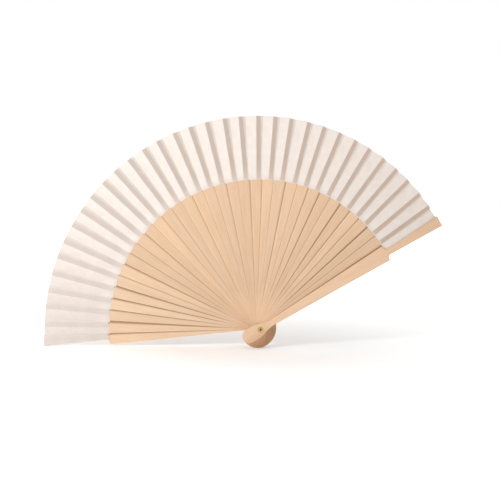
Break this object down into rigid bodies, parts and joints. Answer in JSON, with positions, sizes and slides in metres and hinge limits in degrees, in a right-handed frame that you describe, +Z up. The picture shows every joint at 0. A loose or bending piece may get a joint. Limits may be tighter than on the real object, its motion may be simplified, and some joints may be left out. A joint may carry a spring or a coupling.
{
  "type": "folding fan",
  "caption": "Hand-held folding fan: wooden ribs between two thicker guards on a hollow rivet, with a pleated cloth leaf on the ribs' thin ends.",
  "frame": {"origin": "centre of the rivet's bore, half way through the stack of sticks", "axes": "+Z up with the fan open and standing as pictured, +X right, and -Y along the bore towards the viewer, out of the front guard"},
  "size_m": [0.393, 0.0248, 0.2291],
  "materials": {
    "guard_wood": "smooth sanded, unvarnished",
    "rib_wood": "smooth sanded, unvarnished",
    "leaf_cloth": "thin matt cotton",
    "rivet_brass": "satin"
  },
  "bodies": {
    "rear_guard": {"rear_guard": "guard_wood", "leaf": "leaf_cloth", "rivet": "rivet_brass", "rivet_washer": "rivet_brass"},
    "rib_32": {"rib_32": "rib_wood"},
    "rib_31": {"rib_31": "rib_wood"},
    "rib_30": {"rib_30": "rib_wood"},
    "rib_29": {"rib_29": "rib_wood"},
    "rib_28": {"rib_28": "rib_wood"},
    "rib_27": {"rib_27": "rib_wood"},
    "rib_26": {"rib_26": "rib_wood"},
    "rib_25": {"rib_25": "rib_wood"},
    "rib_24": {"rib_24": "rib_wood"},
    "rib_23": {"rib_23": "rib_wood"},
    "rib_22": {"rib_22": "rib_wood"},
    "rib_21": {"rib_21": "rib_wood"},
    "rib_20": {"rib_20": "rib_wood"},
    "rib_19": {"rib_19": "rib_wood"},
    "rib_18": {"rib_18": "rib_wood"},
    "rib_17": {"rib_17": "rib_wood"},
    "rib_16": {"rib_16": "rib_wood"},
    "rib_15": {"rib_15": "rib_wood"},
    "rib_14": {"rib_14": "rib_wood"},
    "rib_13": {"rib_13": "rib_wood"},
    "rib_12": {"rib_12": "rib_wood"},
    "rib_11": {"rib_11": "rib_wood"},
    "rib_10": {"rib_10": "rib_wood"},
    "rib_09": {"rib_09": "rib_wood"},
    "rib_08": {"rib_08": "rib_wood"},
    "rib_07": {"rib_07": "rib_wood"},
    "rib_06": {"rib_06": "rib_wood"},
    "rib_05": {"rib_05": "rib_wood"},
    "rib_04": {"rib_04": "rib_wood"},
    "rib_03": {"rib_03": "rib_wood"},
    "rib_02": {"rib_02": "rib_wood"},
    "rib_01": {"rib_01": "rib_wood"},
    "front_guard": {"front_guard": "guard_wood"}
  },
  "joints": [
    {"name": "fold_32", "type": "hinge", "parent": "rear_guard", "child": "rib_32", "pos_m": [0, 0, 0], "axis": [0, -1, 0], "range_deg": [0, 4.48], "deforming": ["leaf"]},
    {"name": "fold_31", "type": "hinge", "parent": "rib_32", "child": "rib_31", "pos_m": [0, 0, 0], "axis": [0, -1, 0], "range_deg": [0, 4.9]},
    {"name": "fold_30", "type": "hinge", "parent": "rib_31", "child": "rib_30", "pos_m": [0, 0, 0], "axis": [0, -1, 0], "range_deg": [0, 4.4]},
    {"name": "fold_29", "type": "hinge", "parent": "rib_30", "child": "rib_29", "pos_m": [0, 0, 0], "axis": [0, -1, 0], "range_deg": [0, 4.66]},
    {"name": "fold_28", "type": "hinge", "parent": "rib_29", "child": "rib_28", "pos_m": [0, 0, 0], "axis": [0, -1, 0], "range_deg": [0, 4.78]},
    {"name": "fold_27", "type": "hinge", "parent": "rib_28", "child": "rib_27", "pos_m": [0, 0, 0], "axis": [0, -1, 0], "range_deg": [0, 4.35]},
    {"name": "fold_26", "type": "hinge", "parent": "rib_27", "child": "rib_26", "pos_m": [0, 0, 0], "axis": [0, -1, 0], "range_deg": [0, 4.86]},
    {"name": "fold_25", "type": "hinge", "parent": "rib_26", "child": "rib_25", "pos_m": [0, 0, 0], "axis": [0, -1, 0], "range_deg": [0, 4.54]},
    {"name": "fold_24", "type": "hinge", "parent": "rib_25", "child": "rib_24", "pos_m": [0, 0, 0], "axis": [0, -1, 0], "range_deg": [0, 4.49]},
    {"name": "fold_23", "type": "hinge", "parent": "rib_24", "child": "rib_23", "pos_m": [0, 0, 0], "axis": [0, -1, 0], "range_deg": [0, 4.88]},
    {"name": "fold_22", "type": "hinge", "parent": "rib_23", "child": "rib_22", "pos_m": [0, 0, 0], "axis": [0, -1, 0], "range_deg": [0, 4.36]},
    {"name": "fold_21", "type": "hinge", "parent": "rib_22", "child": "rib_21", "pos_m": [0, 0, 0], "axis": [0, -1, 0], "range_deg": [0, 4.73]},
    {"name": "fold_20", "type": "hinge", "parent": "rib_21", "child": "rib_20", "pos_m": [0, 0, 0], "axis": [0, -1, 0], "range_deg": [0, 4.71]},
    {"name": "fold_19", "type": "hinge", "parent": "rib_20", "child": "rib_19", "pos_m": [0, 0, 0], "axis": [0, -1, 0], "range_deg": [0, 4.37]},
    {"name": "fold_18", "type": "hinge", "parent": "rib_19", "child": "rib_18", "pos_m": [0, 0, 0], "axis": [0, -1, 0], "range_deg": [0, 4.89]},
    {"name": "fold_17", "type": "hinge", "parent": "rib_18", "child": "rib_17", "pos_m": [0, 0, 0], "axis": [0, -1, 0], "range_deg": [0, 4.47]},
    {"name": "fold_16", "type": "hinge", "parent": "rib_17", "child": "rib_16", "pos_m": [0, 0, 0], "axis": [0, -1, 0], "range_deg": [0, 4.57]},
    {"name": "fold_15", "type": "hinge", "parent": "rib_16", "child": "rib_15", "pos_m": [0, 0, 0], "axis": [0, -1, 0], "range_deg": [0, 4.84]},
    {"name": "fold_14", "type": "hinge", "parent": "rib_15", "child": "rib_14", "pos_m": [0, 0, 0], "axis": [0, -1, 0], "range_deg": [0, 4.34]},
    {"name": "fold_13", "type": "hinge", "parent": "rib_14", "child": "rib_13", "pos_m": [0, 0, 0], "axis": [0, -1, 0], "range_deg": [0, 4.8]},
    {"name": "fold_12", "type": "hinge", "parent": "rib_13", "child": "rib_12", "pos_m": [0, 0, 0], "axis": [0, -1, 0], "range_deg": [0, 4.63]},
    {"name": "fold_11", "type": "hinge", "parent": "rib_12", "child": "rib_11", "pos_m": [0, 0, 0], "axis": [0, -1, 0], "range_deg": [0, 4.42]},
    {"name": "fold_10", "type": "hinge", "parent": "rib_11", "child": "rib_10", "pos_m": [0, 0, 0], "axis": [0, -1, 0], "range_deg": [0, 4.9]},
    {"name": "fold_09", "type": "hinge", "parent": "rib_10", "child": "rib_09", "pos_m": [0, 0, 0], "axis": [0, -1, 0], "range_deg": [0, 4.41]},
    {"name": "fold_08", "type": "hinge", "parent": "rib_09", "child": "rib_08", "pos_m": [0, 0, 0], "axis": [0, -1, 0], "range_deg": [0, 4.64]},
    {"name": "fold_07", "type": "hinge", "parent": "rib_08", "child": "rib_07", "pos_m": [0, 0, 0], "axis": [0, -1, 0], "range_deg": [0, 4.79]},
    {"name": "fold_06", "type": "hinge", "parent": "rib_07", "child": "rib_06", "pos_m": [0, 0, 0], "axis": [0, -1, 0], "range_deg": [0, 4.34]},
    {"name": "fold_05", "type": "hinge", "parent": "rib_06", "child": "rib_05", "pos_m": [0, 0, 0], "axis": [0, -1, 0], "range_deg": [0, 4.85]},
    {"name": "fold_04", "type": "hinge", "parent": "rib_05", "child": "rib_04", "pos_m": [0, 0, 0], "axis": [0, -1, 0], "range_deg": [0, 4.55]},
    {"name": "fold_03", "type": "hinge", "parent": "rib_04", "child": "rib_03", "pos_m": [0, 0, 0], "axis": [0, -1, 0], "range_deg": [0, 4.48]},
    {"name": "fold_02", "type": "hinge", "parent": "rib_03", "child": "rib_02", "pos_m": [0, 0, 0], "axis": [0, -1, 0], "range_deg": [0, 4.88]},
    {"name": "fold_01", "type": "hinge", "parent": "rib_02", "child": "rib_01", "pos_m": [0, 0, 0], "axis": [0, -1, 0], "range_deg": [0, 4.37]},
    {"name": "fold_00", "type": "hinge", "parent": "rib_01", "child": "front_guard", "pos_m": [0, 0, 0], "axis": [0, -1, 0], "range_deg": [0, 4.72]}
  ],
  "couplings": [
    {"joint": "fold_31", "follows": "fold_32", "ratio": 1.0921},
    {"joint": "fold_30", "follows": "fold_32", "ratio": 0.98135},
    {"joint": "fold_29", "follows": "fold_32", "ratio": 1.0393},
    {"joint": "fold_28", "follows": "fold_32", "ratio": 1.0653},
    {"joint": "fold_27", "follows": "fold_32", "ratio": 0.96928},
    {"joint": "fold_26", "follows": "fold_32", "ratio": 1.0837},
    {"joint": "fold_25", "follows": "fold_32", "ratio": 1.0124},
    {"joint": "fold_24", "follows": "fold_32", "ratio": 1.0023},
    {"joint": "fold_23", "follows": "fold_32", "ratio": 1.0884},
    {"joint": "fold_22", "follows": "fold_32", "ratio": 0.97254},
    {"joint": "fold_21", "follows": "fold_32", "ratio": 1.0559},
    {"joint": "fold_20", "follows": "fold_32", "ratio": 1.0498},
    {"joint": "fold_19", "follows": "fold_32", "ratio": 0.97535},
    {"joint": "fold_18", "follows": "fold_32", "ratio": 1.0903},
    {"joint": "fold_17", "follows": "fold_32", "ratio": 0.99661},
    {"joint": "fold_16", "follows": "fold_32", "ratio": 1.0187},
    {"joint": "fold_15", "follows": "fold_32", "ratio": 1.0801},
    {"joint": "fold_14", "follows": "fold_32", "ratio": 0.96821},
    {"joint": "fold_13", "follows": "fold_32", "ratio": 1.0705},
    {"joint": "fold_12", "follows": "fold_32", "ratio": 1.0328},
    {"joint": "fold_11", "follows": "fold_32", "ratio": 0.98566},
    {"joint": "fold_10", "follows": "fold_32", "ratio": 1.0923},
    {"joint": "fold_09", "follows": "fold_32", "ratio": 0.98343},
    {"joint": "fold_08", "follows": "fold_32", "ratio": 1.036},
    {"joint": "fold_07", "follows": "fold_32", "ratio": 1.068},
    {"joint": "fold_06", "follows": "fold_32", "ratio": 0.96866},
    {"joint": "fold_05", "follows": "fold_32", "ratio": 1.082},
    {"joint": "fold_04", "follows": "fold_32", "ratio": 1.0155},
    {"joint": "fold_03", "follows": "fold_32", "ratio": 0.99942},
    {"joint": "fold_02", "follows": "fold_32", "ratio": 1.0894},
    {"joint": "fold_01", "follows": "fold_32", "ratio": 0.97388},
    {"joint": "fold_00", "follows": "fold_32", "ratio": 1.0529}
  ]
}
